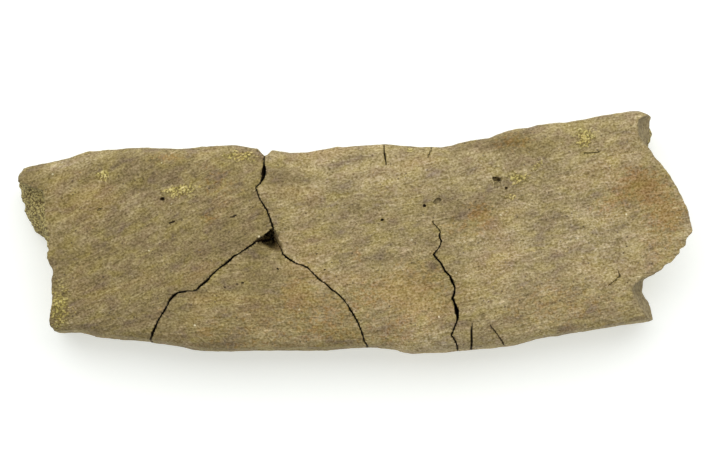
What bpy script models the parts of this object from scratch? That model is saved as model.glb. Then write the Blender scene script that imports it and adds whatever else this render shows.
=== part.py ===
"""Fossil rib section: a flattened length of rib shaft, broken off at both ends.

Three fragments are fitted back together along a forked fracture. The shaft lies on its back, with
the broad outer face up. X runs along the shaft, Y across it and Z up, and the origin is under the
middle of the box around it, at the level that it rests on.
"""

import math

import bmesh
import bpy
import numpy as np
from mathutils import Vector, noise

MM = 0.001

# Driving dimensions, in millimetres.
THICKNESS = 22.0  # outer face to back, at the middle of the length
TAPER = 1.6  # how much thinner the shaft is at its right end than at its left
MID_HEIGHT = 12.5  # level at which the shaft is widest
FACE_POWER = 5.0  # squareness of the outer face's section: higher has tighter margins
BACK_POWER = 3.0  # squareness of the back's section
BACK_WEAR = 1.1  # depth by which the back's high places are worn flat
BOW = 0.9  # rise of the middle of the length above its ends
GROOVE_DEPTH = 2.4  # of the vessel groove along the back
GROOVE_HALF_WIDTH = 5.5
GROOVE_CENTRE = -6.0  # from the shaft's middle line, towards the lower margin
LIP_HEIGHT = 1.5  # of the ridge between the groove and the lower margin
LIP_HALF_WIDTH = 6.0
LIP_CENTRE = -17.5
FIBRE_TILT = math.radians(9.0)  # how far the bone's fibres rise from the length
SWELL = 0.55  # height of the long low swells on the outer face
BACK_LUMPS = 0.8  # height of the lumps on the back
MARGIN_WAVER = 0.25  # how far the margins waver, over lengths of about MARGIN_GRAIN
MARGIN_GRAIN = 5.0
FLAKE_DEPTH = 1.0  # of the bark-like flake lost along the upper margin
FLAKE_WIDTH = 2.6
FLAKE_SPAN = (-101.0, -36.0)  # X, from where to where it is lost

LEFT_SLOPE = (0.05, 0.6)  # depths, as shares of the thickness, between which a broken end goes
RIGHT_SLOPE = (0.15, 0.65)  # over from the edge of the outer face to that of the back
BREAK_LUMPS = 0.9  # height of the lumps on a broken end, and their size
BREAK_GRAIN = 5.0
BREAK_HOLLOW = 0.5  # how far a broken end lies behind the edges around it
TREAD_RISE = 0.5  # depth of the treads that layered bone breaks in, and their spacing in Z
TREAD_SPACING = 5.2

RING_SPACING = 3.0
RING_REACH = 111.0  # the first and last rings lie this far from the middle, past both breaks
FACE_STEPS = 16  # points across one face of a ring
END_GRID = (56, 12)  # cells across and up a broken end
GAP = 0.42  # least width of the fracture between two fragments
WANDER_GRAIN = 16.0  # length over which a fracture's wall leans one way
OVERRUN = 4.0  # how far a cutter runs past the surface that it cuts

# The shaft's margins, as (X, Y).
UPPER_MARGIN = (
    (-111.0, 19.6), (-104.0, 20.9), (-100.7, 21.9), (-98.0, 22.5), (-90.4, 24.0), (-85.4, 26.2),
    (-77.6, 26.7), (-66.4, 27.4), (-55.3, 27.1), (-43.0, 28.1), (-35.2, 27.8), (-26.8, 26.8),
    (-20.7, 25.6), (-15.1, 25.9), (-7.3, 27.4), (1.3, 28.0), (7.8, 28.5), (22.5, 27.6),
    (28.4, 27.5), (35.6, 29.8), (41.5, 30.4), (49.2, 33.3), (55.5, 33.8), (57.5, 35.0),
    (64.9, 35.1), (76.7, 37.5), (85.2, 38.9), (88.7, 39.3), (91.2, 38.6), (93.5, 37.4),
    (111.0, 36.0),
)
LOWER_MARGIN = (
    (-111.0, -30.7), (-93.0, -30.9), (-84.8, -31.0), (-79.7, -32.5), (-64.7, -33.8),
    (-55.5, -35.1), (-50.7, -36.4), (-40.2, -36.9), (-29.0, -36.5), (-11.5, -36.6),
    (-0.7, -35.9), (6.4, -35.7), (13.5, -36.4), (16.0, -37.7), (25.7, -37.3), (36.5, -36.3),
    (46.0, -35.5), (50.6, -34.8), (54.3, -33.7), (59.8, -32.4), (76.7, -29.8), (92.4, -27.3),
    (111.0, -24.4),
)

# The edges of the broken ends, as (Y, X): along the outer face, and along the back.
LEFT_FACE_EDGE = (
    (-31.6, -92.9), (-29.9, -95.4), (-28.2, -96.2), (-24.0, -95.2), (-19.9, -94.6),
    (-15.8, -95.0), (-12.0, -94.6), (-10.3, -95.3), (-7.8, -96.1), (-2.5, -96.2), (-0.3, -96.5),
    (1.9, -97.0), (4.4, -97.6), (10.0, -97.5), (13.1, -98.0), (14.4, -101.4), (15.1, -105.6),
    (16.3, -105.9), (19.1, -105.1), (20.6, -104.2), (21.8, -102.6),
)
LEFT_BACK_EDGE = (
    (-30.5, -94.6), (-28.0, -95.3), (-24.0, -94.6), (-14.9, -94.0), (-8.7, -95.0),
    (-2.6, -96.9), (-1.1, -98.3), (-0.1, -98.7), (1.1, -100.8), (2.4, -101.9), (4.6, -102.8),
    (7.1, -104.7), (10.8, -105.0), (13.3, -106.6), (14.5, -105.9), (16.5, -106.3),
    (20.0, -105.3), (22.0, -103.4),
)
RIGHT_FACE_EDGE = (
    (-30.5, 93.6), (-27.7, 92.6), (-25.2, 90.4), (-22.1, 88.7), (-19.5, 87.4), (-17.9, 86.3),
    (-15.7, 87.9), (-14.9, 89.2), (-13.7, 91.4), (-12.9, 93.8), (-10.6, 96.8), (-7.5, 100.8),
    (-4.5, 102.5), (-2.7, 104.1), (-1.5, 104.2), (0.3, 105.9), (6.4, 104.2), (10.4, 102.1),
    (15.3, 99.9), (20.0, 96.8), (22.1, 95.2), (24.5, 93.0), (25.8, 92.5), (27.5, 91.1),
    (30.6, 88.9), (35.2, 89.1), (36.6, 90.6), (37.4, 92.3), (39.5, 93.0),
)
RIGHT_BACK_EDGE = (
    (-30.5, 94.2), (-27.0, 93.9), (-25.4, 93.6), (-22.9, 93.0), (-20.1, 92.3), (-17.9, 91.0),
    (-16.0, 90.2), (-14.0, 90.0), (-11.8, 91.0), (-6.0, 95.5), (2.0, 98.5), (10.0, 96.0),
    (22.5, 91.9), (27.0, 91.2), (28.6, 92.5), (31.7, 93.5), (36.1, 93.6), (39.5, 93.3),
)

# Where the forked fracture's three branches meet, and each branch from there out past the margin,
# as (X, Y, width).
FORK = (-26.8, -2.8)
UPPER_BRANCH = (
    (-25.8, 1.2, 0.5), (-26.8, 4.4, 0.44), (-28.2, 7.3, 0.4), (-30.2, 10.8, 0.4),
    (-31.3, 14.1, 0.4), (-29.9, 15.3, 0.5), (-29.2, 16.7, 1.1), (-28.9, 18.2, 1.5),
    (-28.7, 20.2, 1.5), (-28.7, 21.6, 0.44), (-28.6, 24.1, 0.5), (-28.5, 26.4, 4.0),
    (-28.5, 30.0, 13.0),
)
LOWER_LEFT_BRANCH = (
    (-31.2, -3.6, 0.69), (-34.4, -5.6, 0.56), (-37.7, -7.5, 0.5), (-42.9, -11.5, 0.5),
    (-45.7, -14.4, 0.69), (-49.2, -17.5, 0.56), (-50.8, -18.4, 0.4), (-53.0, -18.4, 0.44),
    (-55.6, -19.0, 0.56), (-57.3, -20.3, 0.81), (-58.9, -23.4, 0.56), (-61.7, -27.5, 0.56),
    (-63.3, -31.3, 1.0), (-64.4, -34.3, 0.5), (-65.6, -39.0, 0.5),
)
LOWER_RIGHT_BRANCH = (
    (-23.4, -6.4, 0.5), (-20.6, -8.7, 0.5), (-18.0, -10.1, 0.4), (-15.4, -10.9, 0.41),
    (-11.3, -14.9, 0.47), (-6.7, -18.4, 0.44), (-5.5, -19.5, 0.44), (-2.1, -23.5, 0.41),
    (0.7, -28.5, 0.56), (2.1, -31.9, 0.53), (3.1, -34.9, 0.47), (4.2, -39.0, 0.47),
)
# Cracks that don't run through, as (X, Y, width).
LONG_CRACK = (
    (23.9, 3.3, 0.2), (26.0, 1.2, 0.37), (25.9, -1.2, 0.56), (26.6, -3.0, 0.62),
    (24.1, -7.0, 0.56), (26.6, -9.8, 0.56), (27.7, -12.2, 0.62), (29.6, -13.7, 0.62),
    (29.9, -15.2, 1.0), (30.8, -17.0, 0.5), (29.9, -20.9, 0.56), (31.7, -25.1, 1.37),
    (31.7, -26.8, 0.94), (30.5, -29.8, 0.5), (29.4, -32.5, 0.44), (31.1, -34.0, 0.5),
    (32.2, -39.3, 0.5),
)
MARGIN_CRACK = ((36.2, -28.4, 0.2), (36.0, -31.6, 0.6), (36.3, -34.3, 0.7), (35.8, -38.5, 0.6))
SLANT_CRACK = ((37.4, -23.3, 0.2), (41.7, -28.9, 0.35), (46.2, -34.9, 0.45), (47.6, -37.5, 0.5))
UPPER_CRACK = ((9.4, 21.3, 0.2), (8.9, 23.7, 0.44), (8.9, 30.0, 0.5))
# name: (path, depth)
BLIND_CRACKS = {
    "long_crack": (LONG_CRACK, 15.0),
    "margin_crack": (MARGIN_CRACK, 6.0),
    "slant_crack": (SLANT_CRACK, 4.0),
    "upper_crack": (UPPER_CRACK, 3.5),
}

# The hollow that lost chips left at the fork: its rim, and how the rim shrinks and moves with depth.
HOLLOW_RIM = (
    (-25.8, 1.4), (-24.6, -1.0), (-23.7, -3.1), (-22.6, -5.1), (-23.3, -6.6), (-26.8, -5.7),
    (-28.3, -4.7), (-31.0, -4.0), (-31.9, -3.2), (-30.0, -2.2),
)
# (depth, size against the rim, move in X, move in Y)
HOLLOW_LEVELS = (
    (-OVERRUN, 1.0, 0.0, 0.0), (1.0, 0.98, 0.0, 0.0), (3.5, 0.84, -0.3, 0.5),
    (8.0, 0.55, -0.6, 1.0), (13.0, 0.2, -0.6, 0.8),
)

# Vessel holes and worn pits in the outer face, as (X, Y, half length, half width, depth, turn).
PITS = (
    (44.1, 16.8, 1.9, 0.8, 2.4, -10.0), (46.0, 15.6, 1.6, 1.1, 0.9, 20.0),
    (25.4, 9.9, 1.7, 0.9, 1.0, 25.0), (21.4, 8.3, 0.8, 0.7, 1.4, 0.0),
    (-60.4, 10.4, 0.9, 0.7, 1.6, 0.0), (8.2, 3.8, 0.7, 0.6, 1.2, 0.0),
)

# name: (X and Y of a place on the fragment, base colour)
FRAGMENTS = {
    "left_fragment": ((-70.0, 0.0), (0.262, 0.216, 0.114, 1.0)),
    "wedge_fragment": ((-30.0, -25.0), (0.262, 0.195, 0.105, 1.0)),
    "right_fragment": ((40.0, 0.0), (0.279, 0.212, 0.113, 1.0)),
}
BONE_ROUGHNESS = 0.78


def clear_scene():
    """Empties the startup scene."""
    for obj in list(bpy.data.objects):
        bpy.data.objects.remove(obj, do_unlink=True)


def new_collection(name):
    """A collection linked under the scene's own."""
    made = bpy.data.collections.new(name)
    bpy.context.scene.collection.children.link(made)
    return made


def new_object(name, bm, collection):
    """An object from a bmesh in millimetres, with its faces turned outwards."""
    bmesh.ops.recalc_face_normals(bm, faces=bm.faces[:])
    bmesh.ops.scale(bm, vec=(MM, MM, MM), verts=bm.verts[:])
    mesh = bpy.data.meshes.new(name)
    bm.to_mesh(mesh)
    bm.free()
    obj = bpy.data.objects.new(name, mesh)
    collection.objects.link(obj)
    return obj


def closed_loop(bm, points):
    """A closed loop of edges through some points."""
    verts = [bm.verts.new(point) for point in points]
    return [bm.edges.new((verts[i - 1], verts[i])) for i in range(len(verts))]


def loft(bm, loops):
    """Bridges each loop to the next, and caps the first and the last."""
    for near, far in zip(loops, loops[1:]):
        bmesh.ops.bridge_loops(bm, edges=near + far)
    for loop in (loops[0], loops[-1]):
        bmesh.ops.contextual_create(bm, geom=loop)


def read_off(curve, at):
    """The second value of a list of pairs at a first value, on straight runs between them."""
    first, second = zip(*curve)
    return float(np.interp(at, first, second))


def ease(value):
    """0 below 0, 1 above 1, and a soft step between them."""
    value = min(max(value, 0.0), 1.0)
    return value * value * (3.0 - 2.0 * value)


def rough(x, y, z, grain):
    """Fractal noise between about -1 and 1, with lumps of about a grain across, in millimetres."""
    return noise.fractal(Vector((x, y, z)) / grain, 0.9, 2.1, 3)


def along_fibres(x, y):
    """A place as measured along and across the fibres."""
    along = x * math.cos(FIBRE_TILT) + y * math.sin(FIBRE_TILT)
    across = y * math.cos(FIBRE_TILT) - x * math.sin(FIBRE_TILT)
    return along, across


def bow(x):
    """Rise of the shaft at a place along it, over its ends."""
    return BOW * (1.0 - (x / RING_REACH) ** 2)


def swell(x, y):
    """Height of the long low swells at a place on the outer face."""
    along, across = along_fibres(x, y)
    return SWELL * rough(along / 3.2, across, 4.0, 11.0)


def flake(x, y, upper):
    """Depth of the flake lost along the upper margin."""
    start, end = FLAKE_SPAN
    inside = ease((x - start) / 6.0) * ease((end - x) / 10.0)
    edge = FLAKE_WIDTH * (1.0 + 0.5 * rough(x, 0.0, 9.0, 7.0))
    return FLAKE_DEPTH * inside * ease((y - (upper - edge)) / 0.8 + 0.5)


def face_height(x, y, across, upper):
    """Z of the outer face, where across runs from -1 at the lower margin to 1 at the upper."""
    rise = THICKNESS - MID_HEIGHT - 0.5 * TAPER * x / RING_REACH
    shape = (1.0 - abs(across) ** FACE_POWER) ** (1.0 / FACE_POWER)
    detail = (swell(x, y) - flake(x, y, upper)) * min(1.0, 2.0 * shape)
    return MID_HEIGHT + rise * shape + detail + bow(x) - BOW


def back_height(x, y, across, middle):
    """Z of the back, worn flat where it would reach below the level that it rests on."""
    fall = MID_HEIGHT + BACK_WEAR
    shape = (1.0 - abs(across) ** BACK_POWER) ** (1.0 / BACK_POWER)
    along, athwart = along_fibres(x, y)
    groove = GROOVE_DEPTH * math.exp(-(((y - middle - GROOVE_CENTRE) / GROOVE_HALF_WIDTH) ** 2))
    lip = LIP_HEIGHT * math.exp(-(((y - middle - LIP_CENTRE) / LIP_HALF_WIDTH) ** 2))
    lumps = BACK_LUMPS * rough(along / 2.4, athwart, 31.0, 12.0)
    return max(0.0, MID_HEIGHT + (groove - lip + lumps - fall) * shape + bow(x) - 0.5 * BOW)


def ring_at(bm, x):
    """One closed section of the shaft, as a loop of edges."""
    upper = read_off(UPPER_MARGIN, x) + MARGIN_WAVER * rough(x, 60.0, 0.0, MARGIN_GRAIN)
    lower = read_off(LOWER_MARGIN, x) + MARGIN_WAVER * rough(x, -60.0, 0.0, MARGIN_GRAIN)
    middle = 0.5 * (upper + lower)
    half = 0.5 * (upper - lower)
    turns = [math.pi * (step / FACE_STEPS - 0.5) for step in range(FACE_STEPS + 1)]
    steps = [math.sin(turn) for turn in turns]
    points = [(across, True) for across in steps]
    points += [(across, False) for across in reversed(steps[1:-1])]
    section = []
    for across, on_face in points:
        y = middle + half * across
        z = face_height(x, y, across, upper) if on_face else back_height(x, y, across, middle)
        section.append((x, y, z))
    return closed_loop(bm, section)


def make_shaft(collection):
    """The whole shaft before it broke: rings from end to end, bridged and capped."""
    bm = bmesh.new()
    count = round(2.0 * RING_REACH / RING_SPACING)
    loft(bm, [ring_at(bm, RING_REACH * (2.0 * i / count - 1.0)) for i in range(count + 1)])
    return new_object("shaft", bm, collection)


def break_surface(side, y, z):
    """X of the fracture across one end of the shaft: side is -1 at the left and 1 at the right."""
    depth = (THICKNESS - z) / THICKNESS
    if side < 0:
        face_edge, back_edge, (start, end) = LEFT_FACE_EDGE, LEFT_BACK_EDGE, LEFT_SLOPE
    else:
        face_edge, back_edge, (start, end) = RIGHT_FACE_EDGE, RIGHT_BACK_EDGE, RIGHT_SLOPE
    share = ease((depth - start) / (end - start))
    edge = (1.0 - share) * read_off(face_edge, y) + share * read_off(back_edge, y)
    off_the_edges = ease(depth / 0.2) * ease((1.0 - depth) / 0.1)
    lumps = BREAK_LUMPS * rough(0.0, y, z, BREAK_GRAIN)
    tread = z / TREAD_SPACING + 0.6 * rough(3.0, y, z, 2.8 * BREAK_GRAIN)
    treads = TREAD_RISE * math.sin(2.0 * math.pi * tread)
    return edge + off_the_edges * (lumps + treads - side * BREAK_HOLLOW)


def make_break(name, side, collection):
    """The cutter that breaks off one end: a rough sheet across the shaft, thickened outwards."""
    bm = bmesh.new()
    across, up = END_GRID
    made = bmesh.ops.create_grid(bm, x_segments=across, y_segments=up, size=0.5)
    width = 90.0
    height = THICKNESS + 2.0 * OVERRUN
    for vert in made["verts"]:
        y = vert.co.x * width
        z = THICKNESS / 2.0 + vert.co.y * height
        vert.co = (break_surface(side, y, z), y, z)
    outer = bmesh.ops.extrude_face_region(bm, geom=bm.faces[:])
    for item in outer["geom"]:
        if isinstance(item, bmesh.types.BMVert):
            item.co.x = side * (RING_REACH + 3.0 * OVERRUN)
    return new_object(name, bm, collection)


def crack_sides(path):
    """The two banks of a crack: for each station, its centre and the way across it."""
    centres = [Vector(point[:2]) for point in path]
    banks = []
    for i, centre in enumerate(centres):
        before = centres[max(i - 1, 0)]
        after = centres[min(i + 1, len(centres) - 1)]
        heading = (after - before).normalized()
        banks.append((centre, Vector((-heading.y, heading.x)), path[i][2]))
    return banks


def make_crack(name, path, levels, collection, least=GAP):
    """A blade along a path. levels gives (Z, share of the width, how far the path wanders there)."""
    bm = bmesh.new()
    loops = []
    for z, share, wander in levels:
        left, right = [], []
        for centre, across, width in crack_sides(path):
            half = 0.5 * max(width, least) * share
            slip_x = rough(centre.x, centre.y, 0.0, WANDER_GRAIN)
            slip_y = rough(centre.y, centre.x, 7.0, WANDER_GRAIN)
            place = centre + wander * Vector((slip_x, slip_y))
            left.append((*(place + half * across), z))
            right.append((*(place - half * across), z))
        loops.append(closed_loop(bm, left + right[::-1]))
    loft(bm, loops)
    return new_object(name, bm, collection)


def through_crack(name, path, collection):
    """A crack from face to back, which starts a little past the fork so that the branches join."""
    fork = Vector(FORK)
    start = fork + (fork - Vector(path[0][:2])).normalized() * 0.5
    levels = (
        (THICKNESS + OVERRUN, 1.0, 0.0),
        (THICKNESS - 2.0, 1.0, 0.0),
        (0.6 * THICKNESS, 0.9, 1.2),
        (0.2 * THICKNESS, 0.9, 2.4),
        (-OVERRUN, 1.0, 2.4),
    )
    return make_crack(name, ((*start, GAP),) + path, levels, collection)


def blind_crack(name, path, depth, collection):
    """A crack that closes at a depth below the outer face."""
    levels = (
        (THICKNESS + OVERRUN, 1.0, 0.0),
        (THICKNESS - 1.0, 1.0, 0.0),
        (THICKNESS - depth, 0.35, 0.4),
    )
    return make_crack(name, path, levels, collection, least=0.25)


def make_hollow(collection):
    """The hollow at the fork, as rims bridged from above the face down to its lowest point."""
    bm = bmesh.new()
    centre = sum((Vector(point) for point in HOLLOW_RIM), Vector((0.0, 0.0))) / len(HOLLOW_RIM)
    loops = []
    for depth, size, move_x, move_y in HOLLOW_LEVELS:
        moved = centre + Vector((move_x, move_y))
        rim = [moved + size * (Vector(point) - centre) for point in HOLLOW_RIM]
        loops.append(closed_loop(bm, [(*place, THICKNESS - depth) for place in rim]))
    loft(bm, loops)
    return new_object("fork_hollow", bm, collection)


def make_pit(index, pit, collection):
    """A cutter for one pit: a small ball, stretched to the pit's length, width and depth."""
    x, y, half_length, half_width, depth, turn = pit
    bm = bmesh.new()
    ball = bmesh.ops.create_uvsphere(bm, u_segments=8, v_segments=6, radius=1.0)["verts"]
    for vert in ball:
        vert.co = (vert.co.x * half_length, vert.co.y * half_width, vert.co.z * depth)
    turned = Vector((math.cos(math.radians(turn)), math.sin(math.radians(turn))))
    surface = THICKNESS - 0.5 * TAPER * x / RING_REACH + swell(x, y)
    for vert in ball:
        along, across, z = vert.co
        vert.co = (
            x + along * turned.x - across * turned.y,
            y + along * turned.y + across * turned.x,
            surface + z,
        )
    return new_object(f"pit_{index}", bm, collection)


def cut(target, cutter):
    """Takes the cutter out of the target."""
    modifier = target.modifiers.new(cutter.name, "BOOLEAN")
    modifier.operation = "DIFFERENCE"
    modifier.solver = "EXACT"
    modifier.object = cutter


def hide(collection):
    """Keeps a collection of cutters out of renders, and draws each as wires."""
    for obj in collection.objects:
        obj.hide_render = True
        obj.display_type = "WIRE"


def bone_material(name, colour):
    """Matt fossil bone."""
    material = bpy.data.materials.new(name)
    material.use_nodes = True
    shader = material.node_tree.nodes["Principled BSDF"]
    shader.inputs["Base Color"].default_value = colour
    shader.inputs["Roughness"].default_value = BONE_ROUGHNESS
    shader.inputs["Metallic"].default_value = 0.0
    material.diffuse_color = colour
    return material


def islands(bm):
    """The loose parts of a bmesh, each as a set of its faces, largest first."""
    left = set(bm.faces)
    found = []
    while left:
        seed = left.pop()
        island, edge_of_search = {seed}, [seed]
        while edge_of_search:
            face = edge_of_search.pop()
            for edge in face.edges:
                for other in edge.link_faces:
                    if other in left:
                        left.remove(other)
                        island.add(other)
                        edge_of_search.append(other)
        found.append(island)
    return sorted(found, key=len, reverse=True)


def middle_of(faces):
    """X and Y of the middle of some faces, weighted by their areas."""
    total = sum(face.calc_area() for face in faces)
    centre = sum((face.calc_area() * face.calc_center_median() for face in faces), Vector()) / total
    return centre.xy / MM


def split_fragments(shaft, collection):
    """Each loose part of the cut shaft as an object of its own, named by where it lies."""
    graph = bpy.context.evaluated_depsgraph_get()
    broken = bpy.data.meshes.new_from_object(shaft.evaluated_get(graph))
    fragments = {}
    whole = bmesh.new()
    whole.from_mesh(broken)
    middles = [middle_of(island) for island in islands(whole)[: len(FRAGMENTS)]]
    whole.free()
    for rank, middle in enumerate(middles):
        name = min(FRAGMENTS, key=lambda key: (Vector(FRAGMENTS[key][0]) - middle).length)
        bm = bmesh.new()
        bm.from_mesh(broken)
        kept = islands(bm)[rank]
        bmesh.ops.delete(bm, geom=[face for face in bm.faces if face not in kept], context="FACES")
        mesh = bpy.data.meshes.new(name)
        bm.to_mesh(mesh)
        bm.free()
        fragment = bpy.data.objects.new(name, mesh)
        mesh.materials.clear()
        mesh.materials.append(bone_material(f"{name}_bone", FRAGMENTS[name][1]))
        collection.objects.link(fragment)
        fragments[name] = fragment
    bpy.data.meshes.remove(broken)
    return fragments


def centre_on_origin(fragments, others):
    """Moves everything so that the box around the fragments stands centred on the origin."""
    graph = bpy.context.evaluated_depsgraph_get()
    corners = []
    for fragment in fragments:
        corners += [Vector(corner) for corner in fragment.evaluated_get(graph).bound_box]
    low = Vector(min(corner[axis] for corner in corners) for axis in range(3))
    high = Vector(max(corner[axis] for corner in corners) for axis in range(3))
    datum = bpy.data.objects.new("rib_section_datum", None)
    datum.location = (-(low.x + high.x) / 2.0, -(low.y + high.y) / 2.0, -low.z)
    bpy.context.scene.collection.objects.link(datum)
    for obj in (*fragments, *others):
        obj.parent = datum
    print("datum moved by", [round(value / MM, 3) for value in datum.location], "mm")


def main():
    """Builds the shaft, breaks its ends, parts it along the fork and cuts the blind cracks."""
    clear_scene()
    parts = new_collection("fossil_rib_section")
    cutters = new_collection("cutters")
    shaft = make_shaft(parts)
    cut(shaft, make_break("left_break", -1, cutters))
    cut(shaft, make_break("right_break", 1, cutters))
    cut(shaft, through_crack("upper_branch", UPPER_BRANCH, cutters))
    cut(shaft, through_crack("lower_left_branch", LOWER_LEFT_BRANCH, cutters))
    cut(shaft, through_crack("lower_right_branch", LOWER_RIGHT_BRANCH, cutters))
    cut(shaft, make_hollow(cutters))
    fragments = split_fragments(shaft, parts)
    bpy.data.objects.remove(shaft, do_unlink=True)
    right = fragments["right_fragment"]
    for name, (path, depth) in BLIND_CRACKS.items():
        cut(right, blind_crack(name, path, depth, cutters))
    for index, pit in enumerate(PITS):
        holder = fragments["left_fragment"] if pit[0] < FORK[0] else right
        cut(holder, make_pit(index, pit, cutters))
    hide(cutters)
    centre_on_origin(list(fragments.values()), list(cutters.objects))


if __name__ == "__main__":
    main()
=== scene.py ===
"""Dressed fossil rib section: fibrous bark-like bone, broken spongy ends and a forked fracture.

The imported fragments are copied, closed up into one shaft and remeshed finely. The shaft takes its
surface relief and its stains as a whole, so that both run on from fragment to fragment. It is then
cut again along the cracks with thin wavering blades, and parts into the three fragments. Lengths
are in millimetres unless a name says so.
"""

from __future__ import annotations

import logging
import math
from dataclasses import dataclass, field
from enum import IntEnum

import bmesh
import bpy
import numpy as np
from mathutils import Matrix, Vector, noise
from mathutils.bvhtree import BVHTree


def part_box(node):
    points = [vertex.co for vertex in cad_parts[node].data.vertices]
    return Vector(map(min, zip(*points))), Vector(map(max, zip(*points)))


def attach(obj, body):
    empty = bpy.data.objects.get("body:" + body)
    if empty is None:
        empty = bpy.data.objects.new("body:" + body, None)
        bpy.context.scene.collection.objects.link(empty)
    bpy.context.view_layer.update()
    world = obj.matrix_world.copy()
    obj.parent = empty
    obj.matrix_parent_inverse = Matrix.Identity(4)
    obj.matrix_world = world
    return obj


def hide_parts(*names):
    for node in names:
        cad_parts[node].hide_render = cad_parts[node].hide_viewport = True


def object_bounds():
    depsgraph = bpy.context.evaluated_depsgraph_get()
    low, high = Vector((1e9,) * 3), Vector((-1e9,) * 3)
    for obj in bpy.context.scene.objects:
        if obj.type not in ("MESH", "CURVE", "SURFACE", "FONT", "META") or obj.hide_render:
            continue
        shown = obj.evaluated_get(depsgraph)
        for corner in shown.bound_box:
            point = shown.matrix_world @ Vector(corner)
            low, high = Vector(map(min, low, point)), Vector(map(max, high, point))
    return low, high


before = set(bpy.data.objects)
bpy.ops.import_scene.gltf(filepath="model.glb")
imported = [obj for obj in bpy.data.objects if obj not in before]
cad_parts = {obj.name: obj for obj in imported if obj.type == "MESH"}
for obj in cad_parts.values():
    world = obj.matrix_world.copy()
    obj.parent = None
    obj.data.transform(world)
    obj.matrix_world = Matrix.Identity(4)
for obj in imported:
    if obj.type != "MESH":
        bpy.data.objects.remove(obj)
CAD_LOW, CAD_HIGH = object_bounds()

LOG = logging.getLogger("fossil_rib_section")

MM = 0.001

# The frame's origin, as seen from the point that the places below are measured from.
DATUM = (0.514, -0.807)
THICKNESS = 22.0

# What stands above this share of the thickness is the outer face.
FACE_SHARE = 0.7
# How much fainter and finer each further layer of fractal noise is.
NOISE_FALL, NOISE_STEP = 0.8, 2.1
# How quickly a patch fades outwards.
PATCH_FALL = 0.7

# Sockets of a colour Mix node.
MIX_FACTOR, MIX_A, MIX_B, MIX_RESULT = 0, 6, 7, 2

Points = np.ndarray
Fields = dict[str, bpy.types.NodeSocket]


class Surface(IntEnum):
    """The kinds of surface, in the order of a fragment's material slots."""

    BONE = 0
    WALL = 1
    RUBBLE = 2
    WORN = 3


def linear(colour: str) -> tuple[float, float, float, float]:
    """Turns an sRGB hex colour into the linear one that a shader takes.

    Args:
        colour: Six hex digits after a hash sign.

    Returns:
        Red, green, blue and an alpha of 1.
    """
    shares = [int(colour[i : i + 2], 16) / 255.0 for i in (1, 3, 5)]
    curve = [s / 12.92 if s <= 0.04045 else ((s + 0.055) / 1.055) ** 2.4 for s in shares]
    return (*curve, 1.0)


def add_node(
    tree: bpy.types.NodeTree,
    kind: str,
    settings: dict[str, object] | None = None,
    inputs: dict[str | int, object] | None = None,
    stops: tuple[tuple[float, str], ...] = (),
) -> bpy.types.Node:
    """Adds a node with its settings and links.

    Args:
        tree: The node tree that takes it.
        kind: The node's type.
        settings: Values for the node's own properties.
        inputs: For each input, by name or place, its value or the socket linked to it.
        stops: Places and hex colours along a colour ramp.

    Returns:
        The new node.
    """
    node = tree.nodes.new(kind)
    for name, value in (settings or {}).items():
        setattr(node, name, value)
    for name, value in (inputs or {}).items():
        if isinstance(value, bpy.types.NodeSocket):
            tree.links.new(value, node.inputs[name])
        else:
            node.inputs[name].default_value = value
    for i, (place, colour) in enumerate(stops):
        element = node.color_ramp.elements[i] if i < 2 else node.color_ramp.elements.new(place)
        element.position = place
        element.color = linear(colour)
    return node


@dataclass(frozen=True)
class Lumps:
    """Fractal noise: the size of its largest lumps along each axis, its seed and its layers."""

    size: tuple[float, float, float]
    seed: float
    layers: int

    def at(self, points: Points) -> Points:
        """The noise at each of some points.

        Args:
            points: Rows of three coordinates, in millimetres.

        Returns:
            One value for each point, mostly between -1 and 1.
        """
        places = points / np.array(self.size) + self.seed
        return np.array([noise.fractal(place, NOISE_FALL, NOISE_STEP, self.layers) for place in places])


def fibre_points(points: Points, tilt: float) -> Points:
    """Turns points so that their first coordinate runs along the fibres.

    Args:
        points: Rows of coordinates, in millimetres.
        tilt: The turn of the fibres from the X axis, in degrees.

    Returns:
        The turned rows.
    """
    cos, sin = math.cos(math.radians(tilt)), math.sin(math.radians(tilt))
    turned = points.copy()
    turned[:, 0] = points[:, 0] * cos + points[:, 1] * sin
    turned[:, 1] = points[:, 1] * cos - points[:, 0] * sin
    return turned


def step(values: Points, low: float, high: float) -> Points:
    """0 below low, 1 above high, and a soft step between them."""
    share = np.clip((values - low) / (high - low), 0.0, 1.0)
    return share * share * (3.0 - 2.0 * share)


def below(values: Points, low: float, high: float) -> Points:
    """1 below low, 0 above high, and a soft step between them."""
    return step(-values, -high, -low)


def coordinates(mesh: bpy.types.Mesh) -> Points:
    """A mesh's vertices as rows of coordinates, in millimetres.

    Args:
        mesh: A mesh in metres, as all are.

    Returns:
        One row for each vertex.
    """
    flat = np.empty(len(mesh.vertices) * 3, np.float32)
    mesh.vertices.foreach_get("co", flat)
    return flat.reshape(-1, 3).astype(float) / MM


def edge_ends(mesh: bpy.types.Mesh) -> tuple[Points, Points]:
    """The two vertices of every edge.

    Args:
        mesh: The mesh.

    Returns:
        The numbers of the near vertices, and those of the far ones.
    """
    ends = np.empty(len(mesh.edges) * 2, np.int32)
    mesh.edges.foreach_get("vertices", ends)
    near, far = ends.reshape(-1, 2).T
    return near, far


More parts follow.
